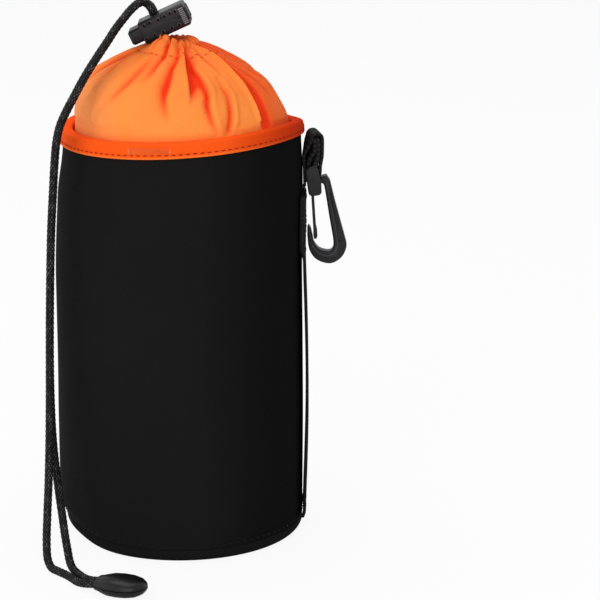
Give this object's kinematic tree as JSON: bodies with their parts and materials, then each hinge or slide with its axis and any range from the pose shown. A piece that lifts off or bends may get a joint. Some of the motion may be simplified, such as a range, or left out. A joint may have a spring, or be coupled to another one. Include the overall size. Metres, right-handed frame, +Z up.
{
  "type": "lens pouch",
  "caption": "Upright padded round pouch with a folded rim tape, a cloth hood drawn shut by a locked cord, a flat belt strap and a snap hook in a webbing loop.",
  "frame": {"origin": "middle of the base's flat underside, on the surface that the pouch stands on", "axes": "+Z up along the pouch, +X towards the belt strap and the snap hook, -Y towards the viewer of the picture"},
  "size_m": [0.1171, 0.1387, 0.2116],
  "materials": {
    "neoprene": "matt black knit face on foam rubber",
    "foam": "matt",
    "rim_tape": "red-orange ribbed tape",
    "hood_cloth": "orange woven nylon, slight sheen",
    "webbing": "black woven webbing",
    "cord": "black braid",
    "plastic": "satin dark grey",
    "spring_wire": "drawn wire"
  },
  "bodies": {
    "pouch": {"body_wall": "neoprene", "base_panel": "neoprene", "base_pad": "foam", "rim_binding": "rim_tape", "hood": "hood_cloth", "belt_strap": "webbing", "hook_strap": "webbing", "drawcord_ring": "cord", "drawcord_tail_front": "cord", "drawcord_tail_back": "cord", "cord_knot_front": "cord", "cord_knot_back": "cord", "cord_end_upper": "plastic", "cord_end_lower": "plastic", "lock_sleeve": "plastic", "lock_spring": "spring_wire"},
    "lock_button": {"lock_plunger": "plastic"},
    "hook": {"hook_frame": "plastic"},
    "gate": {"hook_gate": "plastic"}
  },
  "joints": [
    {"name": "lock_press", "type": "slide", "parent": "pouch", "child": "lock_button", "axis": [0.9063, 0, 0.4226], "range_m": [0, 0.003], "stiffness_N_per_m": 600, "deforming": ["lock_spring"]},
    {"name": "hook_swing", "type": "hinge", "parent": "pouch", "child": "hook", "pos_m": [0.05262, 0, 0.1448], "axis": [0, -1, 0], "range_deg": [0, 75]},
    {"name": "gate_flex", "type": "hinge", "parent": "hook", "child": "gate", "pos_m": [0.05172, 0, 0.13641], "axis": [0, -1, 0], "range_deg": [0, 16], "stiffness_Nm_per_rad": 0.15}
  ]
}
